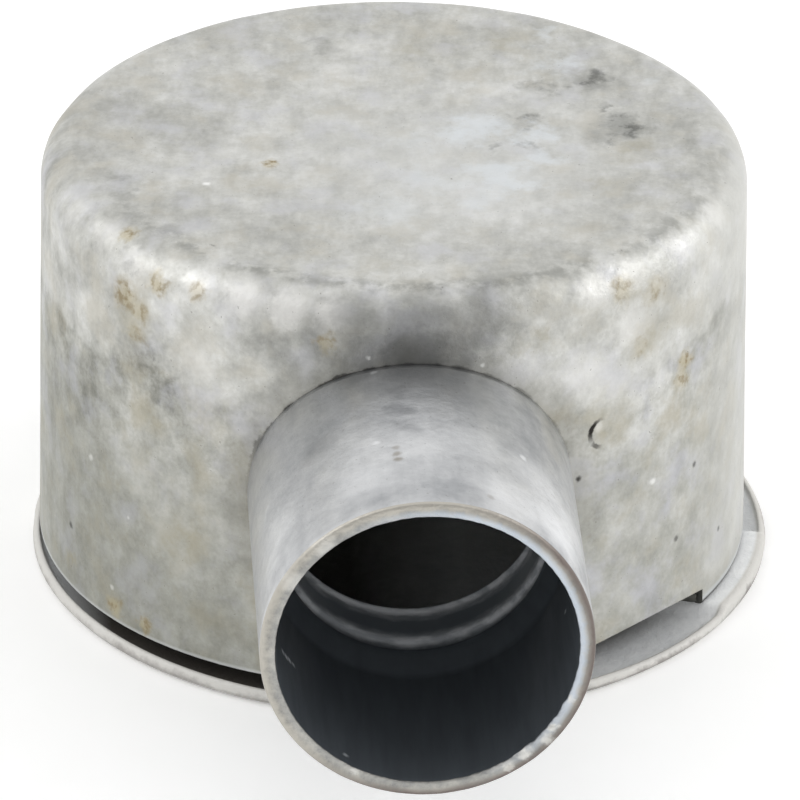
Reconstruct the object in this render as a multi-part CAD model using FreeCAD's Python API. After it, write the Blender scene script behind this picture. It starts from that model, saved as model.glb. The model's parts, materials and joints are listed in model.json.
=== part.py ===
"""One-way conduit box: a drawn steel cup standing on its mouth, with a conduit spout and a screwed lid.

Millimetres, +Z up. The origin is on the cup's axis at the lid's outer face, and the spout points along -Y.
"""
import FreeCAD
import Part
import math
import os

V = FreeCAD.Vector
Y_AXIS = V(0, 1, 0)
Z_AXIS = V(0, 0, 1)
ORIGIN = V(0, 0, 0)

# Cup: drawn steel, a little wider at its mouth
BODY_RADIUS = 31.0
BODY_SHEET = 1.0
MOUTH_FLARE = 0.6
CROWN_CORNER = 3.4

# Mouth: two legs reach down to the lid, and beside each one a shallow arch lifts the edge
LEG_AZIMUTH_DEG = 71.0
LEG_DROP = 0.6
RELIEF_RISE = 1.7
RELIEF_RADIUS = 39.0
RELIEF_BEFORE_LEG_DEG = 28.2

# Screw lugs: the legs' ends, turned inwards. The inset gives the usual centres of 50.8
SCREW_INSET = 5.2
LUG_WIDTH = 15.0
LUG_BEND_OUTSIDE = 0.45
LUG_BEND_INSIDE = 0.3
COLLAR_WALL = 1.0
COLLAR_HEIGHT = 1.4

# Spout: a socket for 25 mm conduit, with room below it to the mouth and above it to the crown
CONDUIT_DIAMETER = 25.0
CONDUIT_CLEARANCE = 0.15
SPOUT_WALL = 1.3
SPOUT_EDGE = 0.35
SPOUT_ROOM_BELOW = 3.45
SPOUT_ROOM_ABOVE = 5.85
SOCKET_DEPTH = 17.7
STOP_BEFORE_WALL = 6.9
STOP_STEP = 1.1
STOP_TAPER = 2.4
NECK_WALL = 1.2
NECK_CLEARANCE = 0.1
ROLL_WIDTH = 1.3
ROLL_SHEET = 0.9
SEAT_GAP = 0.05

# Lid: a shallow pressed pan, blanked a little off centre, with a sheared edge on top of its lip
LID_OVERHANG = 1.3
LID_SHEET = 0.65
LID_OFFSET_X = 0.7
LID_OFFSET_Y = -0.2
LIP_RISE = 0.8
LIP_EDGE = 0.45
RIM_BEVEL = 0.5
EAR_RISE = 1.15
EAR_WIDTH = 13.4
EAR_EDGE = 0.6

# Lid screws, with low slotted heads that stay inside the ears
SCREW_DIAMETER = 4.0
SCREW_LENGTH = 8.0
SCREW_POINT = 0.5
HEAD_DIAMETER = 8.0
HEAD_HEIGHT = 0.85
SLOT_WIDTH = 1.0
SLOT_DEPTH = 0.5
THREAD_CLEARANCE = 0.05
LID_HOLE_CLEARANCE = 0.4

# Length that carries a cutting tool clear past the metal
PAST = 5.0

# Radii that follow from the sizes above
mouth_radius = BODY_RADIUS + MOUTH_FLARE
screw_ring = mouth_radius - BODY_SHEET - SCREW_INSET
screw_radius = SCREW_DIAMETER / 2
lug_hole_radius = screw_radius + THREAD_CLEARANCE
bore_radius = CONDUIT_DIAMETER / 2 + CONDUIT_CLEARANCE
spout_radius = bore_radius + SPOUT_WALL
neck_bore_radius = bore_radius - STOP_STEP
neck_radius = neck_bore_radius + NECK_WALL
lid_radius = mouth_radius + LID_OVERHANG

# Heights and places that follow
ear_top = LID_SHEET + EAR_RISE
lip_height = LID_SHEET + LIP_RISE
leg_bottom = ear_top
lug_top = leg_bottom + BODY_SHEET
mouth_z = leg_bottom + LEG_DROP
spout_z = mouth_z + SPOUT_ROOM_BELOW + spout_radius
crown_z = spout_z + spout_radius + SPOUT_ROOM_ABOVE
stop_y = -(BODY_RADIUS + STOP_BEFORE_WALL)
spout_end_y = stop_y - SOCKET_DEPTH
leg_azimuths = (LEG_AZIMUTH_DEG, LEG_AZIMUTH_DEG + 180)
lid_centre = V(LID_OFFSET_X, LID_OFFSET_Y, 0)
# Bevel that touches, halfway, the round one sheet inside the crown's edge
ceiling_bevel = (CROWN_CORNER - BODY_SHEET) * (2 - math.sqrt(2))
# The lower face of a pressed sheet lags its upper face by this much at a bend of 45 degrees
lid_bend_lag = LID_SHEET * math.tan(math.radians(22.5))


def placed(shape, azimuth):
    """Turns a piece built along -Y to its azimuth, counted from the spout towards +X."""
    return shape.rotated(ORIGIN, Z_AXIS, azimuth)


def turned(outline):
    """A solid of revolution about Z, from (radius, height) corners that start and end on the axis."""
    corners = [V(radius, 0, z) for radius, z in outline]
    return Part.Face(Part.makePolygon(corners + corners[:1])).revolve(ORIGIN, Z_AXIS, 360)


def wall_radius(z):
    """The wall's outer radius at a height: the draft runs straight from the mouth to the crown."""
    return mouth_radius - MOUTH_FLARE * (z - mouth_z) / (crown_z - mouth_z)


def wall_cone(grow, low, high):
    """The wall's outer cone made larger by grow, between two heights."""
    return Part.makeCone(wall_radius(low) + grow, wall_radius(high) + grow, high - low, V(0, 0, low))


def along_spout(radius, from_y, to_y):
    return Part.makeCylinder(radius, to_y - from_y, V(0, from_y, spout_z), Y_AXIS)


def edges_at_height(shape, z):
    """The edges that lie flat at one height."""
    return [edge for edge in shape.Edges
            if abs(edge.BoundBox.ZMin - z) < SEAT_GAP and abs(edge.BoundBox.ZMax - z) < SEAT_GAP]


def rounded(shape, z, radius):
    return shape.makeFillet(radius, edges_at_height(shape, z))


def bevelled(shape, z, size):
    return shape.makeChamfer(size, edges_at_height(shape, z))


def relief():
    """Shallow arch that lifts the mouth's edge beside a leg."""
    centre = V(0, -mouth_radius - PAST, mouth_z + RELIEF_RISE - RELIEF_RADIUS)
    arch = Part.makeCylinder(RELIEF_RADIUS, mouth_radius, centre, Y_AXIS)
    return placed(arch, -RELIEF_BEFORE_LEG_DEG)


def lug_tongue():
    """Plan of one lug, as a post: parallel sides out past the wall, and a round inner end on the screw."""
    half = LUG_WIDTH / 2
    reach = mouth_radius + PAST - screw_ring
    height = lug_top + PAST
    end = Part.makeCylinder(half, height, V(0, -screw_ring, 0))
    return end.fuse(Part.makeBox(LUG_WIDTH, reach, height, V(-half, -screw_ring - reach, 0)))


def leg_with_lug():
    """A leg with its end bent in, cut out of a can that has a floor one sheet thick."""
    outside = bevelled(wall_cone(0, leg_bottom, lug_top + PAST), leg_bottom, LUG_BEND_OUTSIDE)
    inside = bevelled(wall_cone(-BODY_SHEET, lug_top, lug_top + 2 * PAST), lug_top, LUG_BEND_INSIDE)
    leg = outside.cut(inside).common(lug_tongue())
    collar = Part.makeCylinder(lug_hole_radius + COLLAR_WALL, BODY_SHEET + COLLAR_HEIGHT,
                               V(0, -screw_ring, leg_bottom))
    hole = Part.makeCylinder(lug_hole_radius, lug_top + PAST, V(0, -screw_ring, 0))
    return leg.fuse(collar).cut(hole)


def box_body():
    ceiling_z = crown_z - BODY_SHEET
    outside = rounded(wall_cone(0, mouth_z, crown_z), crown_z, CROWN_CORNER)
    inside = bevelled(wall_cone(-BODY_SHEET, mouth_z - PAST, ceiling_z), ceiling_z, ceiling_bevel)
    cup = outside.cut(inside)
    cup = cup.cut([placed(relief(), azimuth) for azimuth in leg_azimuths])
    cup = cup.cut(along_spout(neck_radius + NECK_CLEARANCE, -mouth_radius - PAST, 0))
    return cup.fuse([placed(leg_with_lug(), azimuth) for azimuth in leg_azimuths])


def conduit_spout():
    """Tube with a saddle end on the wall, a neck through it, and the neck rolled over inside."""
    inner_face = -BODY_SHEET - SEAT_GAP
    wall_inside = wall_cone(inner_face, mouth_z, crown_z)
    roll_inside = wall_cone(inner_face - ROLL_SHEET, mouth_z, crown_z)
    tube = along_spout(spout_radius, spout_end_y, 0)
    tube = tube.makeChamfer(SPOUT_EDGE, [edge for edge in tube.Edges if edge.BoundBox.YMax < stop_y])
    tube = tube.cut(wall_cone(SEAT_GAP, mouth_z, crown_z))
    neck = along_spout(neck_radius, stop_y, 0).cut(roll_inside)
    roll = along_spout(neck_radius + ROLL_WIDTH, -mouth_radius, 0).common(wall_inside).cut(roll_inside)
    socket = along_spout(bore_radius, spout_end_y, stop_y)
    taper = Part.makeCone(bore_radius, neck_bore_radius, STOP_TAPER, V(0, stop_y, spout_z), Y_AXIS)
    passage = along_spout(neck_bore_radius, stop_y, 0)
    return tube.fuse([neck, roll]).cut([socket, taper, passage])


def lid_pan():
    """Flat pan with a lip, bevelled outside at its bottom corner and its top edge."""
    inner = lid_radius - LID_SHEET
    outline = [(0, 0), (lid_radius - RIM_BEVEL, 0), (lid_radius, RIM_BEVEL), (lid_radius, lip_height - LIP_EDGE),
               (lid_radius - LIP_EDGE, lip_height), (inner, lip_height), (inner, LID_SHEET), (0, LID_SHEET)]
    return turned(outline).translated(lid_centre)


def ear_limit():
    """Disc as wide as the rim that ends the ears in a bevelled edge."""
    outline = [(0, 0), (lid_radius - RIM_BEVEL, 0), (lid_radius, RIM_BEVEL), (lid_radius, ear_top - EAR_EDGE),
               (lid_radius - EAR_EDGE, ear_top), (0, ear_top)]
    return turned(outline).translated(lid_centre)


def ear(lag, drop):
    """Raised tongue from the screw out past the rim, round at its inner end, with flanks at 45 degrees.

    Lag and drop are zero for the sheet's upper face.
    """
    low = LID_SHEET - drop
    half = EAR_WIDTH / 2 - lag
    foot = half + EAR_RISE
    corners = [V(-foot, 0, low), V(foot, 0, low), V(half, 0, low + EAR_RISE), V(-half, 0, low + EAR_RISE)]
    section = Part.Face(Part.makePolygon(corners + corners[:1])).translated(V(0, -screw_ring, 0))
    bar = section.extrude(V(0, screw_ring - lid_radius - PAST, 0))
    return bar.fuse(Part.makeCone(foot, half, EAR_RISE, V(0, -screw_ring, low)))


def lid():
    rim_outside = ear_limit()
    rim_inside = Part.makeCylinder(lid_radius - LID_SHEET, ear_top, lid_centre)
    hole = Part.makeCylinder(screw_radius + LID_HOLE_CLEARANCE, ear_top + PAST, V(0, -screw_ring, 0))
    raised = []
    hollow = []
    for azimuth in leg_azimuths:
        raised.append(placed(ear(0, 0), azimuth).common(rim_outside))
        hollow.append(placed(ear(lid_bend_lag, LID_SHEET), azimuth).common(rim_inside))
        hollow.append(placed(hole, azimuth))
    return lid_pan().fuse(raised).cut(hollow)


def lid_screw():
    """Low-headed slotted screw, standing on its head under the lid's ear."""
    seat_z = ear_top - LID_SHEET
    tip_z = seat_z + SCREW_LENGTH
    head = Part.makeCylinder(HEAD_DIAMETER / 2, HEAD_HEIGHT, V(0, 0, seat_z - HEAD_HEIGHT))
    shank = Part.makeCylinder(screw_radius, SCREW_LENGTH, V(0, 0, seat_z))
    shank = bevelled(shank, tip_z, SCREW_POINT)
    slot_corner = V(-HEAD_DIAMETER / 2, -SLOT_WIDTH / 2, seat_z - HEAD_HEIGHT)
    slot = Part.makeBox(HEAD_DIAMETER, SLOT_WIDTH, SLOT_DEPTH, slot_corner)
    return head.fuse(shank).cut(slot).translated(V(0, -screw_ring, 0))


def lid_screws():
    return Part.makeCompound([placed(lid_screw(), azimuth).removeSplitter() for azimuth in leg_azimuths])


os.makedirs("parts", exist_ok=True)
for make in (box_body, conduit_spout, lid, lid_screws):
    shape = make().removeSplitter()
    shape.exportStep("parts/" + make.__name__ + ".step")
    print(make.__name__, "solids", len(shape.Solids), "valid", shape.isValid(), "mm3", round(shape.Volume, 1))
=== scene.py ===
"""Worn galvanised look of the one-way conduit box, built over its CAD frame.

Shapes are worked out in millimetres in the part's own frame: crown up, spout along -Y.
Azimuth is counted from the spout towards +X, and turn on the spout from its top towards +X.
"""
import bmesh
import bpy
import json
import math
import numpy as np
from mathutils import Matrix, Vector


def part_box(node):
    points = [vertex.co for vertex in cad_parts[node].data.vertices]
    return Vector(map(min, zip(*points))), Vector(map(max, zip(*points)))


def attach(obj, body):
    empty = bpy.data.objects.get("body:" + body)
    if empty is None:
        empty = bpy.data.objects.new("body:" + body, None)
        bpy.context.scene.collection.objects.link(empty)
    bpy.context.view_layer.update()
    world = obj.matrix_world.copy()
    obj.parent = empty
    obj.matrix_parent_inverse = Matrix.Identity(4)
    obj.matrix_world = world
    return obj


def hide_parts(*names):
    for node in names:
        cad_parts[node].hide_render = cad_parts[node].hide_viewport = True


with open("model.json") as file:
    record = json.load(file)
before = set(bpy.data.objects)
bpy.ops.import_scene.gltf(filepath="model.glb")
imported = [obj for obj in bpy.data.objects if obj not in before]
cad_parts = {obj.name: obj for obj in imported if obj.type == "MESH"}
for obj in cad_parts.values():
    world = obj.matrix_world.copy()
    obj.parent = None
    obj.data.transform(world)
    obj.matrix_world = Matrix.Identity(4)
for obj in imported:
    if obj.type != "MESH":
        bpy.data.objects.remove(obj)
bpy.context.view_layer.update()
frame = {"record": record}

MM = 0.001
FULL_TURN = 2 * math.pi


def node_box(node):
    """Lowest and highest corner of a CAD node, in millimetres."""
    low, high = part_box(node)
    return np.array(low) / MM, np.array(high) / MM


cup_low, cup_high = node_box("box_body")
tube_low, _ = node_box("conduit_spout")
lid_low, lid_high = node_box("lid")
screw_low, screw_high = node_box("lid_screws")
socket = next(mount for mount in frame["record"]["mounts"] if mount["name"] == "conduit_socket")

# Cup: drawn steel sheet, a little wider at its mouth
CUP_SHEET = 1.0
MOUTH_FLARE = 0.6
CROWN_CORNER = 3.4
MOUTH_ROUND = 0.2
MOUTH_STEPS = (30, 60, 90)
# The press leaves the crown and its rolled corner uneven: depth and width of the humps
CROWN_UNEVEN, CROWN_HUMP = 0.03, 9.0
CORNER_UNEVEN, CORNER_HUMP = 0.05, 4.0
CORNER_MIDDLE = math.radians(45)
CORNER_SPREAD = math.radians(30)
crown_z = cup_high[2]
leg_bottom = cup_low[2]
mouth_radius = cup_high[0]

# Mouth: two legs with their ends bent in as lugs, and a shallow arch beside each
LEG_AZIMUTH = math.radians(71.0)
LEG_DROP = 0.6
RELIEF_RISE = 1.7
RELIEF_RADIUS = 39.0
RELIEF_BEFORE_LEG = math.radians(28.2)
LUG_WIDTH = 15.0
LUG_BEND = 0.45
SCREW_INSET = 5.2
LUG_HOLE = 2.05
COLLAR_WALL = 1.0
COLLAR_HEIGHT = 1.4
mouth_z = leg_bottom + LEG_DROP
screw_ring = mouth_radius - CUP_SHEET - SCREW_INSET
leg_azimuths = (LEG_AZIMUTH, LEG_AZIMUTH + math.pi)

# Spout: tube on the wall with a neck through it, rolled over inside
SPOUT_WALL = 1.3
SPOUT_EDGE = 0.35
SPOUT_EDGE_MIDDLE = 0.1
BORE_EDGE = 0.18
BORE_EDGE_MIDDLE = 0.05
STOP_STEP = 1.1
STOP_TAPER = 2.4
TAPER_ROUND = 0.3
NECK_WALL = 1.2
NECK_ROUND = 0.3
NECK_LIP = 0.6
NECK_GROOVE = 0.3
NECK_RIDGES = (2.2, 7.5)
RIDGE_SHINE = (0.9, 1.0)
RIDGE_FLANK = 0.5
HOLE_CLEARANCE = 0.1
ROLL_WIDTH = 1.3
ROLL_SHEET = 0.9
SEAT_GAP = 0.05
# The saw leaves the end uneven: depth and width of the humps, and how far they reach in
END_UNEVEN, END_HUMP = 0.03, 7.0
SAW_UNEVEN, SAW_HUMP = 0.02, 1.0
END_REACH = 0.8
EDGE_UNEVEN = 0.02
EDGE_REACH = 0.5
BURR_TURN = math.radians(128)
BURR_SPREAD = math.radians(24)
BURR_SIZE = 0.5
BURR_DEPTH = 0.09
spout_z = socket["pos_m"][2] / MM
bore_radius = socket["dims"]["r_mm"]
spout_radius = bore_radius + SPOUT_WALL
spout_end = tube_low[1]
stop_y = spout_end + socket["dims"]["length_mm"]
neck_bore = bore_radius - STOP_STEP
neck_radius = neck_bore + NECK_WALL

# Lid: pressed pan with a rounded lip and two ears under the lugs
LID_SHEET = 0.65
LIP_RISE = 0.8
LIP_ROUND = 0.12
ROUND_MIDDLE = 0.3
LIP_HOLLOW = 2.3
LIP_CURVE = 0.5
RIM_BEVEL = 1.0
LIP_DROOP = 0.35
DROOP_AZIMUTH = math.radians(55)
DROOP_SPREAD = math.radians(40)
EAR_RISE = 1.15
EAR_WIDTH = 13.4
EAR_EDGE = 0.6
EAR_FLANK = math.radians(45)
LID_HOLE = 2.4
LID_FLAT = 22.0
lid_radius = (lid_high - lid_low)[:2].min() / 2
lid_centre = (lid_low[:2] + lid_high[:2]) / 2
lid_inner = lid_radius - LID_SHEET

# Screws: M4 with a coarse thread and a low slotted head
SCREW_RADIUS = 2.0
SCREW_POINT = 0.5
THREAD_PITCH = 0.7
THREAD_DEPTH = 0.38
HEAD_RADIUS = 4.0
HEAD_HEIGHT = 0.85
HEAD_ROUND = 0.15
HEAD_OVERLAP = HEAD_HEIGHT / 4
SLOT_WIDTH = 1.0
SLOT_DEPTH = 0.5
SLOT_HAIR = 0.01
head_low = screw_low[2]
seat_z = head_low + HEAD_HEIGHT
tip_z = screw_high[2]

# Fineness of the meshes
CUP_COLUMNS = 360
CROWN_ROWS = 26
CORNER_ROWS = 14
WALL_ROWS = 56
SPOUT_COLUMNS = 480
LID_COLUMNS = 480
LID_FLAT_ROWS = 12
LID_ROWS = 44
RIM_ROWS = 8
UNDER_ROWS = 5
LUG_COLUMNS = 96
SCREW_COLUMNS = 48
THREAD_ROWS = 8
HEAD_ROWS = 33
LAND_LINES = 16
SLOT_LINES = 5
CUT_HAIR = math.radians(0.03)
RIPPLE_WAVES = 14


def ripple(points, size, seed):
    """Smooth random field over points, about -1 to 1, with humps about as wide as size."""
    random = np.random.default_rng(seed)
    total = np.zeros(points.shape[:-1])
    for _ in range(RIPPLE_WAVES):
        heading = random.normal(size=3)
        heading *= math.pi / size * random.uniform(0.5, 1.5) / np.linalg.norm(heading)
        total += np.sin(points @ heading + random.uniform(0, FULL_TURN))
    return np.clip(total / math.sqrt(2 * RIPPLE_WAVES), -1, 1)


def wall_radius(z):
    """The wall's outer radius at a height."""
    return mouth_radius - MOUTH_FLARE * (z - mouth_z) / (crown_z - mouth_z)


def round_z(radius, azimuth, z):
    """Points at a radius and azimuth about the cup's axis."""
    radius, azimuth, z = np.broadcast_arrays(radius, azimuth, z)
    return np.stack([radius * np.sin(azimuth), -radius * np.cos(azimuth), z], axis=-1)


def even_turns(columns):
    """Angles of even columns round a full turn."""
    return np.arange(columns) * FULL_TURN / columns


def quarter_turn(rows):
    """Angles of even rows over a quarter of a turn."""
    return np.linspace(0, math.pi / 2, rows)


def screw_place(leg):
    """Where the screw of a leg stands, seen from above."""
    return screw_ring * np.array([math.sin(leg), -math.cos(leg)])


def grid_cells(index):
    """Four-cornered cells of a grid of point numbers that closes round its columns."""
    right = np.roll(index, -1, axis=1)
    return np.stack([index[:-1], index[1:], right[1:], right[:-1]], axis=-1)


def numbered(grid, start=0):
    """Numbers of a grid's points, row by row."""
    rows, columns = grid.shape[:2]
    return start + np.arange(rows * columns).reshape(rows, columns)


def end_fans(index, start):
    """Triangles that close a grid's first and last ring, each about a middle point of its own."""
    fans = [np.stack([row, np.roll(row, -1), np.full(len(row), start + number)], axis=-1)
            for number, row in enumerate((index[0], index[-1]))]
    return np.concatenate(fans).tolist()


def rim_of(cut):
    """Grid edges between cut and kept cells, as pairs of (row, column)."""
    edges = []
    columns = cut.shape[1]
    for row, column in np.argwhere(cut != np.roll(cut, -1, axis=1)):
        beside = (column + 1) % columns
        edges.append(((row, beside), (row + 1, beside)))
    for row, column in np.argwhere(cut[:-1] != cut[1:]):
        edges.append(((row + 1, column), (row + 1, (column + 1) % columns)))
    return edges


def hole_wall(edges, outer, inner):
    """Cells that join the two skins of a sheet round a hole in it."""
    return np.array([[outer[a], outer[b], inner[b], inner[a]] for a, b in edges])


def pull_to_circle(points, centre, radius):
    """Moves points of a plane on to a circle in it."""
    away = points - centre
    return centre + away * (radius / np.linalg.norm(away, axis=-1, keepdims=True))


def make_piece(name, points, faces, finishes, face_finish, node):
    """Makes a smooth mesh of the piece that stands for a CAD node."""
    mesh = bpy.data.meshes.new(name)
    mesh.from_pydata((points * MM).tolist(), [], faces)
    for finish in finishes:
        mesh.materials.append(finish)
    mesh.polygons.foreach_set("material_index", np.asarray(face_finish, dtype=np.int32))
    mesh.polygons.foreach_set("use_smooth", np.ones(len(faces), dtype=bool))
    skin = bmesh.new()
    skin.from_mesh(mesh)
    bmesh.ops.recalc_face_normals(skin, faces=skin.faces)
    skin.to_mesh(mesh)
    skin.free()
    piece = bpy.data.objects.new(name, mesh)
    bpy.context.scene.collection.objects.link(piece)
    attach(piece, "root")
    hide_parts(node)


# Cup

def at_leg(azimuth):
    """True where a leg stands."""
    found = np.zeros(azimuth.shape, dtype=bool)
    for leg in leg_azimuths:
        across = mouth_radius * np.sin(azimuth - leg)
        found |= (np.abs(across) < LUG_WIDTH / 2) & (np.cos(azimuth - leg) > 0)
    return found


def mouth_edge(azimuth):
    """Height of the cup's edge: level, lifted by an arch beside each leg, lowered at the legs."""
    edge = np.full(azimuth.shape, mouth_z)
    for leg in leg_azimuths:
        from_middle = azimuth - leg + RELIEF_BEFORE_LEG
        across = mouth_radius * np.sin(from_middle)
        arch = np.sqrt(RELIEF_RADIUS ** 2 - across ** 2) - RELIEF_RADIUS + RELIEF_RISE
        edge = np.where(np.cos(from_middle) > 0, np.maximum(edge, mouth_z + arch), edge)
    return np.where(at_leg(azimuth), leg_bottom, edge)


def cup_azimuths():
    """Even columns, and a pair of close ones at each side of each leg for its sharp corner."""
    half_leg = math.asin(LUG_WIDTH / 2 / mouth_radius)
    sides = [leg + side * half_leg + hair * CUT_HAIR
             for leg in leg_azimuths for side in (-1, 1) for hair in (-1, 1)]
    even = even_turns(CUP_COLUMNS)
    return np.unique(np.concatenate([even, np.array(sides) % FULL_TURN]))


def cup_skin(azimuth):
    """Outer skin from the crown to just above the mouth: radius, height and the skin's lean, row by row."""
    slope = math.atan2(MOUTH_FLARE, crown_z - mouth_z)
    corner_z = crown_z - CROWN_CORNER
    wall_line = mouth_radius * math.cos(slope) + mouth_z * math.sin(slope)
    corner_radius = (wall_line - CROWN_CORNER - corner_z * math.sin(slope)) / math.cos(slope)
    steep = math.pi / 2 - slope
    rows = [(corner_radius * share, crown_z, 0) for share in np.linspace(0, 1, CROWN_ROWS + 1)[1:]]
    for lean in np.linspace(0, steep, CORNER_ROWS + 1)[1:]:
        rows.append((corner_radius + CROWN_CORNER * math.sin(lean),
                     corner_z + CROWN_CORNER * math.cos(lean), lean))
    top = corner_z + CROWN_CORNER * math.sin(slope)
    bottom = mouth_edge(azimuth) + np.where(at_leg(azimuth), LUG_BEND, MOUTH_ROUND)
    for share in np.linspace(0, 1, WALL_ROWS + 1)[1:]:
        z = top + (bottom - top) * share
        rows.append((wall_radius(z), z, steep))
    wide = [[np.broadcast_to(value, azimuth.shape) for value in row] for row in rows]
    return tuple(np.array([row[part] for row in wide]) for part in range(3))


def lug(azimuth):
    """One bent-in lug with its thread collar, as a ring of section corners swept round the screw."""
    turn = even_turns(LUG_COLUMNS)
    half = LUG_WIDTH / 2
    inside_wall = mouth_radius - CUP_SHEET / 2
    outwards, sideways = np.cos(turn), np.abs(np.sin(turn))
    to_wall = np.sqrt(inside_wall ** 2 - (screw_ring * sideways) ** 2) - screw_ring * outwards
    straight = np.minimum(half / np.maximum(sideways, half / mouth_radius), to_wall)
    plan = np.where(outwards > 0, straight, half)
    lug_top = leg_bottom + CUP_SHEET
    collar_top = lug_top + COLLAR_HEIGHT
    hole, collar = LUG_HOLE, LUG_HOLE + COLLAR_WALL
    soft = MOUTH_ROUND
    section = [(hole, leg_bottom + soft), (hole, collar_top - soft), (hole + soft, collar_top),
               (collar - soft, collar_top), (collar, collar_top - soft), (collar, lug_top + soft),
               (collar + soft, lug_top), (plan - soft, lug_top), (plan, lug_top - soft),
               (plan, leg_bottom + soft), (plan - soft, leg_bottom), (hole + soft, leg_bottom)]
    rows = []
    for away, z in section:
        along = screw_ring + away * np.cos(turn)
        across = away * np.sin(turn)
        x = along * math.sin(azimuth) + across * math.cos(azimuth)
        y = -along * math.cos(azimuth) + across * math.sin(azimuth)
        rows.append(np.stack([x, y, np.broadcast_to(z, x.shape)], axis=-1))
    return np.array(rows)


def build_cup(outside, inside):
    OUTSIDE, INSIDE = range(2)
    azimuth = cup_azimuths()
    columns = len(azimuth)
    radius, height, lean = cup_skin(azimuth)
    skin = round_z(radius, azimuth, height)
    # Uneven only ever inwards, and most on the rolled corner
    rolled = np.exp(-((lean - CORNER_MIDDLE) / CORNER_SPREAD) ** 2)
    uneven = CROWN_UNEVEN * (1 + ripple(skin, CROWN_HUMP, seed=3))
    uneven = uneven + CORNER_UNEVEN * rolled * (1 + ripple(skin, CORNER_HUMP, seed=5))
    outer = round_z(radius - uneven * np.sin(lean), azimuth, height - uneven * np.cos(lean))
    inner = round_z(radius - CUP_SHEET * np.sin(lean), azimuth, height - CUP_SHEET * np.cos(lean))
    edge = mouth_edge(azimuth)
    soft = np.where(at_leg(azimuth), LUG_BEND, MOUTH_ROUND)
    lip = []
    for turn in np.radians(MOUTH_STEPS):
        lip.append(round_z(radius[-1] - soft * (1 - math.cos(turn)), azimuth,
                           edge + soft * (1 - math.sin(turn))))
    lip.append(round_z(radius[-1] - CUP_SHEET + MOUTH_ROUND, azimuth, edge))
    grid = np.concatenate([outer, np.array(lip), inner[::-1]])
    index = numbered(grid)
    first = CROWN_ROWS + CORNER_ROWS - 1
    outer_wall = index[first:len(outer)]
    inner_wall = index[::-1][first:len(outer)]

    # Neck hole in both skins, round about the spout's axis
    points = grid.reshape(-1, 3)
    hole_radius = neck_radius + HOLE_CLEARANCE
    spout_axis = np.array([0, spout_z])
    middles = points[grid_cells(outer_wall)].mean(axis=2)
    from_axis = np.linalg.norm(middles[..., [0, 2]] - spout_axis, axis=-1)
    cut = (from_axis < hole_radius) & (middles[..., 1] < 0)
    rim = rim_of(cut)
    rim_spots = {spot for pair in rim for spot in pair}
    for wall, sheet in ((outer_wall, 0), (inner_wall, CUP_SHEET)):
        numbers = [wall[spot] for spot in rim_spots]
        flat = pull_to_circle(points[numbers][:, [0, 2]], spout_axis, hole_radius)
        points[numbers, 0] = flat[:, 0]
        points[numbers, 2] = flat[:, 1]
        points[numbers, 1] = -np.sqrt((wall_radius(flat[:, 1]) - sheet) ** 2 - flat[:, 0] ** 2)
    cells = grid_cells(index)
    keep = np.ones(cells.shape[:2], dtype=bool)
    keep[first:first + WALL_ROWS] = ~cut
    keep[::-1][first:first + WALL_ROWS] = ~cut
    # Inner faces, the hole's wall and the lugs take the darker inside finish, a painted shade
    finish = np.full(cells.shape[:2], OUTSIDE)
    finish[len(outer) + len(lip):] = INSIDE
    # The cut sides of the legs take the darker inside finish too, as painted shade
    leg_side = at_leg(azimuth) != np.roll(at_leg(azimuth), -1)
    finish[len(outer) - 1:, leg_side] = INSIDE

    faces = cells[keep].tolist()
    face_finish = finish[keep].tolist()
    joined = hole_wall(rim, outer_wall, inner_wall).tolist()
    faces += joined
    face_finish += [INSIDE] * len(joined)
    poles = np.array([[0, 0, outer[0, :, 2].mean()], [0, 0, crown_z - CUP_SHEET]])
    faces += end_fans(index, len(points))
    face_finish += [OUTSIDE] * columns + [INSIDE] * columns
    points = np.concatenate([points, poles])
    for leg in leg_azimuths:
        ring = lug(leg)
        numbers = numbered(ring, len(points))
        around = grid_cells(np.vstack([numbers, numbers[:1]])).reshape(-1, 4).tolist()
        faces += around
        face_finish += [INSIDE] * len(around)
        points = np.concatenate([points, ring.reshape(-1, 3)])
    make_piece("drawn_cup", points, faces, [outside, inside], face_finish,
               "box_body")


# Spout

def saddle(grow, radius, turn):
    """Where the cup's wall, made larger by grow, lies along the spout at a radius from its axis."""
    across = radius * np.sin(turn)
    return -np.sqrt((wall_radius(spout_z + radius * np.cos(turn)) + grow) ** 2 - across ** 2)


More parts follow.
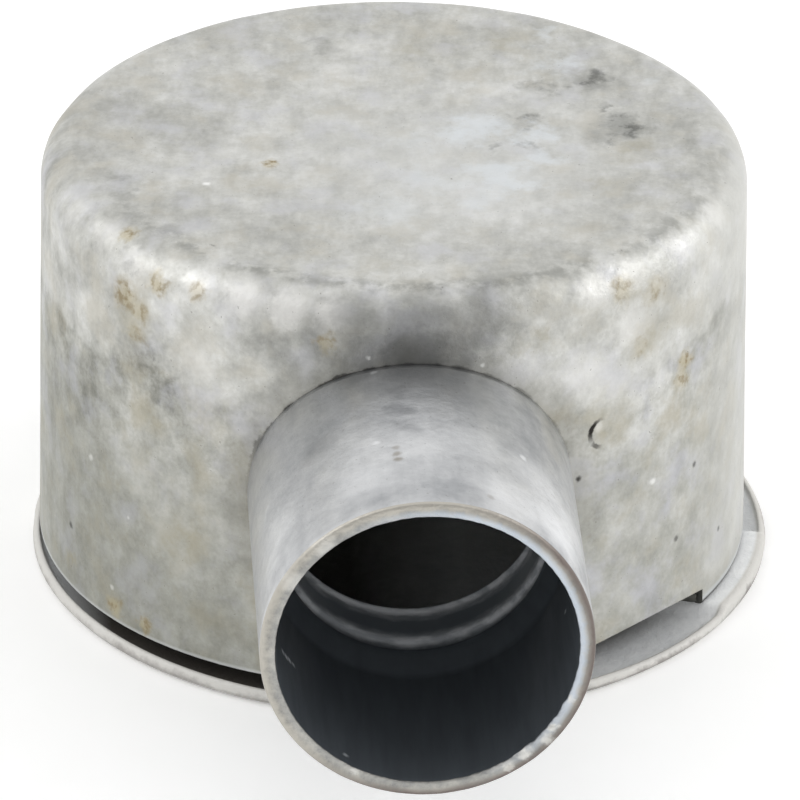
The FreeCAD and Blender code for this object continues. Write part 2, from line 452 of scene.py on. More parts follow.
def build_spout(tube, bore, sawn_end, neck):
    turn = even_turns(SPOUT_COLUMNS)
    roll_radius = neck_radius + ROLL_WIDTH
    wall_inside = -CUP_SHEET - SEAT_GAP
    roll_inside = wall_inside - ROLL_SHEET
    taper_end = stop_y + STOP_TAPER
    TUBE, BORE, SAWN, NECK = range(4)
    # The neck ends level in a short lip, or at the rolled edge where that reaches further in
    neck_end = np.maximum(saddle(roll_inside, neck_bore, turn) - NECK_ROUND, taper_end + NECK_RIDGES[1])
    lip_radius = neck_bore + NECK_LIP
    ridges = []
    for ridge, top in zip(NECK_RIDGES, (taper_end + NECK_RIDGES[0], neck_end)):
        ridges += [(neck_bore + NECK_GROOVE, taper_end + ridge - 3 * RIDGE_FLANK, 4, NECK),
                   (neck_bore + NECK_GROOVE, taper_end + ridge - RIDGE_FLANK, 3, NECK),
                   (neck_bore, top, 4, NECK)]
    # Corners of the section, with the steps that lead to each and the finish of those steps
    stations = [(spout_radius, saddle(SEAT_GAP, spout_radius, turn), 0, TUBE),
                (spout_radius, spout_end + SPOUT_EDGE, 40, TUBE),
                (spout_radius - SPOUT_EDGE_MIDDLE, spout_end + SPOUT_EDGE_MIDDLE, 2, SAWN),
                (spout_radius - SPOUT_EDGE, spout_end, 2, SAWN),
                (bore_radius + BORE_EDGE, spout_end, 6, SAWN),
                (bore_radius + BORE_EDGE_MIDDLE, spout_end + BORE_EDGE_MIDDLE, 2, SAWN),
                (bore_radius, spout_end + BORE_EDGE, 2, SAWN),
                (bore_radius, stop_y, 30, BORE),
                (neck_bore + TAPER_ROUND / 2, taper_end - TAPER_ROUND, 6, BORE),
                (neck_bore, taper_end + TAPER_ROUND, 3, NECK),
                *ridges,
                (neck_bore + NECK_LIP / 2, neck_end + NECK_LIP / 4, 2, NECK),
                (lip_radius, neck_end, 2, NECK),
                (lip_radius, saddle(roll_inside, lip_radius, turn), 3, NECK),
                (roll_radius, saddle(roll_inside, roll_radius, turn), 5, NECK),
                (roll_radius, saddle(wall_inside, roll_radius, turn), 2, NECK),
                (neck_radius, saddle(wall_inside, neck_radius, turn), 3, NECK),
                (neck_radius, saddle(SEAT_GAP, neck_radius, turn), 2, NECK),
                (spout_radius, saddle(SEAT_GAP, spout_radius, turn), 3, TUBE)]
    rows, finish = [], []
    for (radius, y, _, _), (next_radius, next_y, steps, side) in zip(stations, stations[1:]):
        for share in np.arange(steps) / steps:
            rows.append((np.broadcast_to(radius + (next_radius - radius) * share, turn.shape),
                         np.broadcast_to(y + (next_y - y) * share, turn.shape)))
            finish.append(side)
    radius = np.array([row[0] for row in rows])
    y = np.array([row[1] for row in rows])
    # Sawn end: slightly uneven, and torn into burrs along part of its inner edge
    place = np.stack([radius * np.sin(turn), y, radius * np.cos(turn)], axis=-1)
    near_end = np.clip(1 - (y - spout_end) / END_REACH, 0, 1)
    torn = np.exp(-((turn - BURR_TURN) / BURR_SPREAD) ** 2)
    inner_edge = np.clip(1 - np.abs(radius - bore_radius) / EDGE_REACH, 0, 1) * near_end
    uneven = END_UNEVEN * (1 + ripple(place, END_HUMP, seed=11))
    uneven = uneven + SAW_UNEVEN * (1 + ripple(place, SAW_HUMP, seed=12))
    y = y + near_end * uneven
    y = y + inner_edge * torn * BURR_DEPTH * (1 + ripple(place, BURR_SIZE, seed=13))
    burred = EDGE_UNEVEN + BURR_DEPTH * torn
    radius = radius - inner_edge * burred * (1 + ripple(place, BURR_SIZE, seed=14))
    points = np.stack([radius * np.sin(turn), y, spout_z + radius * np.cos(turn)], axis=-1)
    index = numbered(radius)
    cells = grid_cells(np.vstack([index, index[:1]]))
    face_finish = np.repeat(finish, SPOUT_COLUMNS)
    make_piece("spout_tube", points.reshape(-1, 3), cells.reshape(-1, 4).tolist(),
               [tube, bore, sawn_end, neck], face_finish, "conduit_spout")


# Lid

def soft_step(share):
    """Eases a share from 0 to 1, as a press rounds the foot and the top of a flank."""
    share = np.clip(share, 0, 1)
    return share * share * (3 - 2 * share)


def ear_share(points, lag):
    """One on top of an ear, falling to nothing over its flanks."""
    share = np.zeros(points.shape[:-1])
    for leg in leg_azimuths:
        along = points[..., 0] * math.sin(leg) - points[..., 1] * math.cos(leg)
        across = points[..., 0] * math.cos(leg) + points[..., 1] * math.sin(leg)
        from_ear = np.hypot(across, np.minimum(along - screw_ring, 0)) - EAR_WIDTH / 2 + lag
        share = np.maximum(share, soft_step(1 - from_ear / EAR_RISE))
    return share


def lip_section():
    """Rim of the lid: up a hollow curve inside, over the lip, down its round outside and in under it."""
    lip_top = LID_SHEET + LIP_RISE
    rim = []
    for turn in quarter_turn(RIM_ROWS)[1:]:
        rim.append((lid_inner - LIP_HOLLOW * (1 - math.sin(turn)),
                    LID_SHEET + (LIP_RISE - LIP_ROUND) * (1 - math.cos(turn))))
    rim.append((lid_inner + ROUND_MIDDLE * LIP_ROUND, lip_top - ROUND_MIDDLE * LIP_ROUND))
    for turn in quarter_turn(RIM_ROWS):
        rim.append((lid_radius - LIP_CURVE * (1 - math.sin(turn)), LID_SHEET + LIP_RISE * math.cos(turn)))
    return rim + under_rim()


def ear_section():
    """Rim of the lid at an ear, with as many corners as the lip: level to its rounded end, then under it."""
    ear_top = LID_SHEET + EAR_RISE
    rim = [(lid_inner - LIP_HOLLOW * (1 - math.sin(turn)), ear_top)
           for turn in quarter_turn(RIM_ROWS)[1:]]
    rim.append((lid_inner + ROUND_MIDDLE * LIP_ROUND, ear_top))
    for turn in quarter_turn(RIM_ROWS):
        rim.append((lid_radius - EAR_EDGE * (1 - math.sin(turn)),
                    ear_top - EAR_EDGE * (1 - math.cos(turn))))
    return rim + under_rim()


def under_rim():
    """Bottom corner of the rim, rounded in to the lid's underside."""
    return [(lid_radius - RIM_BEVEL * (1 - math.cos(turn)), RIM_BEVEL * (1 - math.sin(turn)))
            for turn in quarter_turn(UNDER_ROWS)[1:]]


def build_lid(finish):
    turn = even_turns(LID_COLUMNS)
    lag = LID_SHEET * math.tan(EAR_FLANK / 2)
    radii = np.concatenate([np.linspace(0, LID_FLAT, LID_FLAT_ROWS)[1:],
                            np.linspace(LID_FLAT, lid_inner - LIP_HOLLOW, LID_ROWS)[1:]])

    def around(radius):
        return lid_centre + np.stack([radius * np.sin(turn), -radius * np.cos(turn)], axis=-1)

    def level(radius, z):
        return np.concatenate([around(radius), np.broadcast_to(z, turn.shape)[:, None]], axis=-1)

    top = [level(radius, LID_SHEET + EAR_RISE * ear_share(around(radius), 0)) for radius in radii]
    under = [level(radius, EAR_RISE * ear_share(around(radius), lag)) for radius in radii]
    rim = []
    droop = LIP_DROOP * np.exp(-((turn - DROOP_AZIMUTH) / DROOP_SPREAD) ** 2)
    for (radius, z), (ear_radius, ear_z) in zip(lip_section(), ear_section()):
        share = ear_share(around(radius), 0)
        z = z - droop * max(z - LID_SHEET, 0)
        rim.append(level(radius + (ear_radius - radius) * share, z + (ear_z - z) * share))
    grid = np.array(top + rim + under[::-1])
    index = numbered(grid)
    points = grid.reshape(-1, 3)
    upper = index[:len(radii)]
    lower = index[::-1][:len(radii)]
    cells = grid_cells(index)
    keep = np.ones(cells.shape[:2], dtype=bool)
    middles = points[grid_cells(upper)].mean(axis=2)[..., :2]
    joined = []
    for leg in leg_azimuths:
        screw = screw_place(leg)
        cut = np.linalg.norm(middles - screw, axis=-1) < LID_HOLE
        edges = rim_of(cut)
        spots = {spot for pair in edges for spot in pair}
        for skin in (upper, lower):
            numbers = [skin[spot] for spot in spots]
            points[numbers, :2] = pull_to_circle(points[numbers, :2], screw, LID_HOLE)
        keep[:len(radii) - 1] &= ~cut
        keep[::-1][:len(radii) - 1] &= ~cut
        joined += hole_wall(edges, upper, lower).tolist()
    faces = cells[keep].tolist() + joined
    middle = np.array([[*lid_centre, LID_SHEET], [*lid_centre, 0]])
    faces += end_fans(index, len(points))
    points = np.concatenate([points, middle])
    make_piece("pressed_lid", points, faces, [finish], [0] * len(faces), "lid")


# Screws

def screw_shank():
    """Threaded shank from inside the head to the point: rows of points about the screw's axis."""
    turn = even_turns(SCREW_COLUMNS)
    heights = np.arange(seat_z - HEAD_OVERLAP, tip_z, THREAD_PITCH / THREAD_ROWS)
    z = np.append(heights, tip_z)[:, None]
    phase = z / THREAD_PITCH - turn / FULL_TURN
    flank = np.abs(phase - np.round(phase)) * 2
    threaded = soft_step((z - seat_z - THREAD_PITCH / 2) / THREAD_PITCH)
    radius = SCREW_RADIUS - THREAD_DEPTH * flank * threaded
    radius = np.minimum(radius, SCREW_RADIUS - SCREW_POINT + (tip_z - z))
    z = np.broadcast_to(z, radius.shape)
    return np.stack([radius * np.sin(turn), radius * np.cos(turn), z], axis=-1)


def screw_head():
    """Low round head with a slot, as lines along the slot: upper face first, then the slotted face."""
    slot_side = SLOT_WIDTH / 2
    land = np.linspace(slot_side + SLOT_HAIR, HEAD_RADIUS - SLOT_HAIR, LAND_LINES)
    across = np.concatenate([-land[::-1], np.linspace(-slot_side, slot_side, SLOT_LINES), land])
    half = np.sqrt(HEAD_RADIUS ** 2 - across ** 2)
    along = np.linspace(-1, 1, HEAD_ROWS)[:, None] * half
    across = np.broadcast_to(across, along.shape)
    rim = np.clip((np.hypot(along, across) - HEAD_RADIUS + HEAD_ROUND) / HEAD_ROUND, 0, 1)
    slot = np.where(np.abs(across) <= slot_side + SLOT_HAIR / 2, SLOT_DEPTH, 0)
    low = head_low + np.maximum(slot, HEAD_ROUND * rim ** 2)
    upper = np.stack([along, across, np.full(along.shape, seat_z)], axis=-1)
    return upper, np.stack([along, across, low], axis=-1)


def build_screws(finish):
    shank = screw_shank()
    upper, lower = screw_head()
    parts, faces, start = [], [], 0
    for leg in leg_azimuths:
        axis = screw_place(leg)
        heading = np.array([[math.cos(leg), math.sin(leg)], [-math.sin(leg), math.cos(leg)]])
        numbers = numbered(shank, start)
        faces += grid_cells(numbers).reshape(-1, 4).tolist() + [numbers[0].tolist(), numbers[-1].tolist()]
        start += numbers.size
        above = numbered(upper, start)
        below = above + above.size
        start += 2 * above.size
        for side in (above, below):
            faces += grid_cells(side)[:, :-1].reshape(-1, 4).tolist()
        skirt = [np.concatenate([side[0], side[1:, -1], side[-1, -2::-1], side[-2:0:-1, 0]])
                 for side in (above, below)]
        faces += grid_cells(np.array(skirt)).reshape(-1, 4).tolist()
        for block in (shank, upper, lower):
            flat = block.reshape(-1, 3)
            parts.append(np.concatenate([flat[:, :2] @ heading + axis, flat[:, 2:]], axis=-1))
    make_piece("threaded_lid_screws", np.concatenate(parts), faces, [finish], [0] * len(faces),
               "lid_screws")


# Finishes

MARK_CORE = 0.2
SHAKE_GAIN = 5


def linear(code):
    """An sRGB hex colour as linear red, green, blue and alpha."""
    values = [int(code[place:place + 2], 16) / 255 for place in (1, 3, 5)]
    return [v / 12.92 if v <= 0.04045 else ((v + 0.055) / 1.055) ** 2.4 for v in values] + [1.0]


def per_size(size):
    """Texture scale, in object metres, of a pattern whose features are this many millimetres wide."""
    return 1 / (size * MM)


def add(tree, kind, inputs, **settings):
    """Adds a node with its settings. Each input is a socket to link or a value to set."""
    node = tree.nodes.new("ShaderNode" + kind)
    for name, value in settings.items():
        setattr(node, name, value)
    for key, value in inputs.items():
        if isinstance(value, bpy.types.NodeSocket):
            tree.links.new(value, node.inputs[key])
        else:
            node.inputs[key].default_value = value
    return node.outputs


def new_finish(name):
    """An empty node material, and where a point of the piece lies, in metres."""
    finish = bpy.data.materials.new(name)
    finish.use_nodes = True
    finish.node_tree.nodes.clear()
    return finish, finish.node_tree, add(finish.node_tree, "TexCoord", {})["Object"]


def drawn_out(tree, place, along, times):
    """Place squeezed along a direction, so that a pattern on it is drawn out that way so many times."""
    along = Vector(along).normalized()
    reach = add(tree, "VectorMath", {0: place, 1: along}, operation="DOT_PRODUCT")["Value"]
    squeeze = add(tree, "VectorMath", {0: along * (1 / times - 1), "Scale": reach}, operation="SCALE")[0]
    return add(tree, "VectorMath", {0: place, 1: squeeze}, operation="ADD")[0]


def add_each(tree, kind, names, rows, **settings):
    """Adds a node for each row of inputs, in the order of their names, and gives each one's first output."""
    return [add(tree, kind, dict(zip(names, row)), **settings)[0] for row in rows]


# Inputs of a noise pattern, and of a mask that fades from one level to another over a stretch of a measure
PATTERN = ("Vector", "Scale", "Detail", "Roughness")
FADE = ("Value", "From Min", "From Max", "To Min", "To Max")


def over_mm(rows):
    """Rows of fades that begin and end at lengths given in mm."""
    return [(measure, begin * MM, end * MM, low, high) for measure, begin, end, low, high in rows]


def weighed(tree, base, parts):
    """A base with patterns added to it, each times its weight."""
    for pattern, weight in parts:
        base = add(tree, "Math", {0: pattern, 1: weight, 2: base}, operation="MULTIPLY_ADD")[0]
    return base


def overlap(tree, mask, *others):
    """A mask or pattern, kept to where all the other masks lie."""
    for other in others:
        mask = add(tree, "Math", {0: mask, 1: other}, operation="MULTIPLY")[0]
    return mask


def coated(tree, colour, coats):
    """Lays colours over one another, each where its mask is."""
    for mask, code in coats:
        colour = add(tree, "Mix", {0: mask, 6: colour, 7: linear(code)}, data_type="RGBA")[2]
    return colour


def surface(tree, look, relief, strength, depth):
    """Ends a finish: its look, over a relief of a strength and a depth in mm."""
    bump = add(tree, "Bump", {"Height": relief, "Strength": strength, "Distance": depth * MM})[0]
    shader = add(tree, "BsdfPrincipled", {**look, "Normal": bump})[0]
    add(tree, "OutputMaterial", {"Surface": shader})


def ragged(tree, place, size, reach):
    """Place shaken by noise of a size, up to about a reach, both in millimetres: makes an outline ragged."""
    noise = add(tree, "TexNoise", {"Vector": place, "Scale": per_size(size), "Detail": 6.0,
                                   "Roughness": 0.65})["Color"]
    shake = add(tree, "VectorMath", {0: noise, 1: (-0.5, -0.5, -0.5)}, operation="ADD")[0]
    shake = add(tree, "VectorMath", {0: shake, "Scale": SHAKE_GAIN * reach * MM}, operation="SCALE")[0]
    return add(tree, "VectorMath", {0: place, 1: shake}, operation="ADD")[0]


def either(tree, mask, *others):
    """The strongest of several masks."""
    for other in others:
        mask = add(tree, "Math", {0: mask, 1: other}, operation="MAXIMUM")[0]
    return mask


def stain(tree, place, marks):
    """Mask of soft round marks, from rows of two coordinates, a radius in mm and a strength.

    The rows are kept under the function that places them on the piece.
    """
    made = []
    for locate, rows in marks.items():
        for first, second, radius, strength in rows:
            centre = locate(first, second)
            away = add(tree, "VectorMath", {0: place, 1: centre}, operation="DISTANCE")["Value"]
            fade = (away, radius, MARK_CORE * radius, 0, strength)
            made += add_each(tree, "MapRange", FADE, over_mm([fade]), interpolation_type="SMOOTHSTEP")
    return either(tree, *made)


def on_wall(azimuth, z):
    """A place on the cup's wall, in metres, from its azimuth in degrees and its height in mm."""
    return round_z(wall_radius(z), math.radians(azimuth), z) * MM


def on_crown(x, y):
    """A place on the flat of the crown, in metres, from its X and Y in mm."""
    return np.array([x, y, crown_z]) * MM


def on_roll(azimuth, lean):
    """A place on the crown's rolled edge, in metres, from its azimuth and its lean in degrees."""
    lean = math.radians(lean)
    radius = mouth_radius - MOUTH_FLARE - CROWN_CORNER * (1 - math.sin(lean))
    return round_z(radius, math.radians(azimuth), crown_z - CROWN_CORNER * (1 - math.cos(lean))) * MM


def round_spout(radius, turn, y):
    """A place about the spout's axis, in metres, from its radius, its turn in degrees and its Y in mm."""
    turn = math.radians(turn)
    return np.array([radius * math.sin(turn), y, spout_z + radius * math.cos(turn)]) * MM


def on_spout(turn, y):
    return round_spout(spout_radius, turn, y)


def on_bore(turn, y):
    return round_spout(bore_radius, turn, y)


def on_end(turn, radius):
    return round_spout(radius, turn, spout_end)


def from_spout_axis(tree, place):
    """Distance of a point from the spout's axis, in metres."""
    flat = add(tree, "VectorMath", {0: place, 1: (1, 0, 1)}, operation="MULTIPLY")[0]
    return add(tree, "VectorMath", {0: flat, 1: (0, 0, spout_z * MM)}, operation="DISTANCE")["Value"]


def from_upright(tree, place, x, y):
    """Distance, in metres, of a point from the upright line through X and Y in mm."""
    flat = add(tree, "VectorMath", {0: place, 1: (1, 1, 0)}, operation="MULTIPLY")[0]
    return add(tree, "VectorMath", {0: flat, 1: (x * MM, y * MM, 0)}, operation="DISTANCE")["Value"]


def off(tree, measure, middle):
    """How far a measure is from a middle given in mm, in metres."""
    away = add(tree, "Math", {0: measure, 1: middle * MM}, operation="SUBTRACT")[0]
    return add(tree, "Math", {0: away}, operation="ABSOLUTE")[0]


# Marks on the cup as the photograph shows them: two coordinates, radius in mm and strength
RUST_MARKS = {
    on_wall: [(-51, 34.8, 2.2, 0.8), (-47.5, 34, 1.6, 0.6), (-48, 31.6, 1.6, 0.5), (51, 27.4, 1.7, 0.9),
              (50, 26, 1.6, 0.7), (-53, 3.9, 1.5, 0.8), (-46, 3.5, 1.2, 0.8), (-13.8, 35.3, 1.3, 0.7),
              (43, 36, 1.8, 0.5), (40, 31, 1.5, 0.4)],
    on_roll: [(-44, 72, 1.5, 0.9), (-55, 25, 1.3, 0.8), (-36, 62, 1.4, 0.6), (36, 72, 1.8, 0.6)],
    on_crown: [(-11, -4, 1.1, 1)]}
TAN_MARKS = {
    on_wall: [(-45, 24, 2.8, 0.28), (-32, 26, 4.5, 0.35), (-25, 22, 4, 0.35), (42, 31, 3, 0.4),
              (34, 26, 4, 0.3), (-68, 4.3, 2.2, 0.6), (-50, 33, 4, 0.4), (-49, 29, 3.2, 0.35),
              (-47, 20, 2.8, 0.3), (18.7, 34.8, 1.6, 0.6), (-38, 15, 5, 0.3)],
    on_roll: [(38, 75, 3, 0.4)],
    on_crown: [(11, 20, 4, 0.35), (4, 18.5, 5, 0.3), (21, -3, 3, 0.35), (18, -10, 3.5, 0.35),
               (-14.5, 22.5, 3.5, 0.25)]}
SMUDGE_MARKS = {
    on_crown: [(19.6, 5.5, 1.4, 0.6), (20.3, 2, 3.2, 0.85), (18.5, 0, 2.4, 0.6), (18, 11.3, 2.5, 0.8),
               (13.6, 10, 2.2, 0.6), (11.4, 3, 1.9, 0.6), (9, -1.9, 1.3, 0.35), (11.5, -1.6, 1.3, 0.4),
               (24.7, -8, 1.6, 0.35), (-5.4, 19, 2, 0.35), (-25, -6, 2.4, 0.4), (-22.7, -7.5, 1.8, 0.35),
               (-24, -9.7, 1.8, 0.4), (-19.6, -17.3, 1.6, 0.45), (-16.2, -19.9, 0.6, 0.9)],
    on_wall: [(-48, 31.6, 1.2, 0.7), (-46, 30.6, 1.3, 0.65), (-62, 21, 1, 0.45), (-62, 23.2, 1, 0.45),
              (-62.5, 25.2, 0.8, 0.35)],
    on_roll: [(-50, 60, 1.2, 0.4)]}
SHADOW_MARKS = {
    on_wall: [(-7, 35.4, 5, 0.35), (1, 35, 5.4, 0.6), (8, 35.5, 4.6, 0.45), (-15, 34.6, 3.2, 0.26),
              (-22, 34.4, 2.6, 0.18)],
    on_roll: [(2, 66, 4.6, 0.4), (10, 66, 4.6, 0.4), (-9, 70, 4, 0.3)]}
WORN_MARKS = {
    on_crown: [(7, 2, 4.5, 0.8), (12.3, 1, 3, 0.7), (8.7, -8, 4, 0.75), (12.6, -4, 3.2, 0.7),
               (6.7, -11.3, 3.2, 0.5), (15, 14.5, 3.4, 0.6), (14.3, 20.7, 2.2, 0.5), (22.9, 11, 2.6, 0.35),
               (-1, -14, 4.5, 0.35), (3, -8, 3.5, 0.4), (1, -1, 3, 0.35)]}
# Pale marks on the rolled edge and the wall under it: partly rubbed zinc, partly a painted highlight along
# the edge
RUBBED_AND_HIGHLIGHT_MARKS = {
    on_roll: [(-70, 45, 2, 0.2), (-59, 42, 2.4, 0.4), (-50, 65, 2.6, 0.4), (-44, 62, 2.2, 0.2),
              (-36, 58, 2.6, 0.3), (-28, 54, 2.8, 0.7), (-20, 56, 2.8, 0.75), (-13, 58, 2.6, 0.65),
              (31, 58, 2.2, 0.5), (39, 55, 2.2, 0.45), (51, 50, 2.2, 0.35), (64, 48, 2.2, 0.35)],
    on_wall: [(28, 30.5, 3, 0.35), (38, 33.5, 3.4, 0.4), (-36, 31, 3, 0.3)]}
CREASED_MARKS = {on_roll: [(36, 70, 4.5, 1), (48, 65, 4.5, 0.9)],
                 on_wall: [(50, 33, 5, 0.7), (36, 32, 5, 0.6)]}
PITS = {on_wall: [(27.6, 20.5, 0.42, 0.9), (54, 16.7, 0.4, 0.7), (63, 7.9, 0.4, 0.6), (49, 10.5, 0.42, 0.6),
                  (-66.7, 8.5, 0.45, 0.7)]}
CHIPS = {on_crown: [(-16.7, -7.9, 0.5, 0.95)],
         on_wall: [(-54, 5.6, 0.35, 0.4), (-60, 17, 0.5, 0.4), (-50, 13.4, 0.3, 0.3), (43, 17.5, 0.5, 0.6),
                   (-7, 34.3, 0.3, 0.6), (11, 33.2, 0.3, 0.6)]}
# Crescent nick: the left side of a thin ring, painted dark as the shaded side of a small dent, with cleaner
# metal inside
NICK_MIDDLE = on_wall(32.2, 24.3)
NICK_RADIUS = 1.35
NICK_WIDTH = 0.26
NICK_SIDE = {on_wall: [(30.2, 24.9, 1.6, 1), (30.9, 23.3, 0.8, 0.7)]}
NICK_FLOOR = {on_wall: [(31.4, 25, 0.8, 0.4)]}

def marks_and_painted_light_of_cup(tree, place, blotchy, speckled):
    """Coats over the cup's zinc, in order: wear and stains with painted highlight and painted shade among
    them; and the masks of its rust, pits and creases.
    """
    near_place = ragged(tree, place, 1.2, 0.5)
    far_place = ragged(tree, place, 5, 1.6)
    sharp_place = ragged(tree, place, 0.6, 0.1)
    worn_and_highlit = stain(tree, ragged(tree, place, 4, 2.4), WORN_MARKS)
    tan = overlap(tree, stain(tree, far_place, TAN_MARKS), blotchy)
    smudge = overlap(tree, stain(tree, ragged(tree, place, 3, 1.4), SMUDGE_MARKS), blotchy)
    rusty = stain(tree, near_place, RUST_MARKS)
    rust = overlap(tree, rusty, speckled)
    ring = add(tree, "VectorMath", {0: sharp_place, 1: NICK_MIDDLE}, operation="DISTANCE")["Value"]
    ring = add(tree, "MapRange", {"Value": off(tree, ring, NICK_RADIUS), "From Min": NICK_WIDTH * MM,
                                  "From Max": NICK_WIDTH / 2 * MM})[0]
    nick = overlap(tree, ring, stain(tree, place, NICK_SIDE))
    # The nick's dark crescent is painted shade, kept with the pits
    pits = either(tree, stain(tree, sharp_place, PITS), nick)
    # The rubbed marks are partly painted highlight; the shadow marks are painted shade and reflection
    coats = [(worn_and_highlit, "#DCE0E3"), (tan, "#9C957C"), (stain(tree, near_place, RUBBED_AND_HIGHLIGHT_MARKS), "#EEEDEA"),
             (smudge, "#62635F"), (stain(tree, far_place, SHADOW_MARKS), "#45474A"),
             (overlap(tree, rusty, 0.55), "#BBAC82"), (rust, "#7E6A3E"),
             (stain(tree, sharp_place, CHIPS), "#F4F4F2"),
             (stain(tree, sharp_place, NICK_FLOOR), "#E8E8E5"), (pits, "#2E2C29")]
    return coats, rust, pits, stain(tree, far_place, CREASED_MARKS)


def weathered_zinc_on_drawn_steel():
    """Hot-dip zinc on drawn sheet steel, dulled by damp storage and handling.

    The eye gets a cloudy grey with warm and cool patches and fine grit, draw marks down the wall, a brighter
    edge that is partly rubbed and partly a painted highlight, painted shade above and round the spout, and
    rust where the zinc is broken.
    """
    finish, tree, place = new_finish("weathered_zinc_on_drawn_steel")
    x, y, height = add(tree, "SeparateXYZ", {0: place})
    # Clouds, mottling, grit, specks of rust, draw marks, rolling grain of the sheet and scuffs.
    # The zinc's own grit is finer than a pixel, so it is drawn at 0.4 mm.
    clouds, mottle, grit, specks, draws, rolling, scuffs = add_each(tree, "TexNoise", PATTERN, [
        (place, per_size(12), 8, 0.62), (place, per_size(2.4), 6, 0.62), (place, per_size(0.4), 2, 0.6),
        (place, per_size(0.9), 3, 0.55), (drawn_out(tree, place, (0, 0, 1), 9), per_size(0.9), 4, 0.6),
        (drawn_out(tree, place, (0.1, 1, 0), 2.5), per_size(1.3), 5, 0.62),
        (drawn_out(tree, place, (0.4, 0.4, 0.8), 5), per_size(0.8), 4, 0.6)], normalize=False)
    tints = add(tree, "TexNoise", {"Vector": place, "W": 3.0, "Scale": per_size(5), "Detail": 5.0,
                                   "Roughness": 0.6}, noise_dimensions="4D", normalize=False)[0]
    wander = weighed(tree, height, [(clouds, 2.4 * MM)])
    from_axis = from_spout_axis(tree, place)
    from_edge = weighed(tree, from_upright(tree, place, 1.2, -0.5), [(mottle, 0.5 * MM)])

    (on_top, below_top, drawn, scuffed, contrast, calm, band, right,
     left_shade) = add_each(tree, "MapRange", FADE, over_mm([
        (height, crown_z - 0.9, crown_z - 0.2, 0, 1),  # the flat of the crown
        (height, crown_z - 0.9, crown_z - 0.2, 1, 0),  # all below it
        (x, -21, -30, 0.05, 0.11),  # draw marks, most at the far left
        (x, 10, 20, 0, 0.08),  # scuffs on the right
        (height, 18, 29, 0.47, 0.84),  # the wall is blotchier high up
        (x, 8, 18, 1, 0.82),  # and calmer on the right
        (wander, 27.4, 28.6, 0, 1),  # lighter band above the line of the last draw
        (x, 6, 20, 0, 0.05),  # and lifted on the right as painted light from the right lamp
        (x, -8, -24, 0, -0.06)]))  # painted shade: darker on the left, away from the right lamp
    (smooth, low_left_shade, lighter_middle, edge, front_edge, front, above, left, burr,
     foot) = add_each(tree, "MapRange", FADE, over_mm([
        (x, 24, 30, 0, 0.65),  # painted light: paler at the far right, on the side of the right lamp
        (weighed(tree, wander, [(x, 0.6)]), 16, -4, 0, 0.42),  # painted shade low on the left
        (from_upright(tree, place, 5, -5), 19, 4, 0, 0.4),  # the crown is lighter in its middle than at its edge
        (off(tree, from_edge, 27.4), 1.5, 0.1, 0, 1),  # dark line where the crown meets its rolled edge
        (y, -4, -18, 0, 0.34),  # that line, in front only
        (y, 0, -10, 0, 1),  # the side of the spout
        (height, spout_z + 1, spout_z + 9, 0.1, 1),  # the seam's upper half
        (x, 6, 2, 0.45, 1),  # and more of it on the left
        (height, mouth_z + 0.45, mouth_z + 0.1, 0, 0.7),  # bright burr along the mouth
        (height, mouth_z - 0.05, mouth_z - 0.25, 0, 0.9)]))  # painted shade on the legs' ends
    seam_width = weighed(tree, from_axis, [(mottle, 0.3 * MM)])
    near, seam = add_each(tree, "MapRange", FADE, over_mm([
        (from_axis, spout_radius + 3.5, spout_radius, 0, 0.45),  # painted shade on the wall round the spout's root
        (seam_width, spout_radius + 0.2, spout_radius - 0.02, 0, 0.85),  # and thick in its seam: dirt in the joint, with painted shade
    ]), interpolation_type="SMOOTHSTEP")
    seam = overlap(tree, seam, front, above, left)
    # The legs' ends take the seam's dark colour as painted shade
    seam = either(tree, seam, foot)
    warm, cool, patchy, blotchy, speckled, gritty = add_each(tree, "MapRange", FADE, [
        (tints, 0.1, 0.7, 0, 0.5), (tints, -0.1, -0.7, 0, 0.5), (mottle, 0.3, -0.3, 0, 1),
        (mottle, -0.1, 0.4, 0.4, 1), (specks, -0.05, 0.5, 0, 0.85), (grit, 0.78, 1, 0, 0.5)])

    # Grey of the zinc: clouds, mottling and grit, with the marks of its making
    shade = weighed(tree, 0.0, [(clouds, 0.45), (mottle, 0.34), (grit, 0.12), (draws, drawn),
                                (scuffs, scuffed), (rolling, overlap(tree, on_top, 0.34))])
    contrast = add(tree, "MapRange", {"Value": on_top, "To Min": overlap(tree, contrast, calm),
                                      "To Max": 0.52})[0]
    # The level carries painted light on the right and painted shade on the left
    level = weighed(tree, 0.5, [(shade, contrast), (overlap(tree, right, band), below_top), (left_shade, 1.0)])
    grey = add(tree, "ValToRGB", {0: level})[0]
    ramp = grey.node.color_ramp
    ramp.elements.new(0.5)
    for stop, code in zip(ramp.elements, ("#7E7E77", "#B6B6B0", "#E2E2DF")):
        stop.color = linear(code)

    marks_and_painted_light, rust, pits, creased = marks_and_painted_light_of_cup(tree, place, blotchy, speckled)
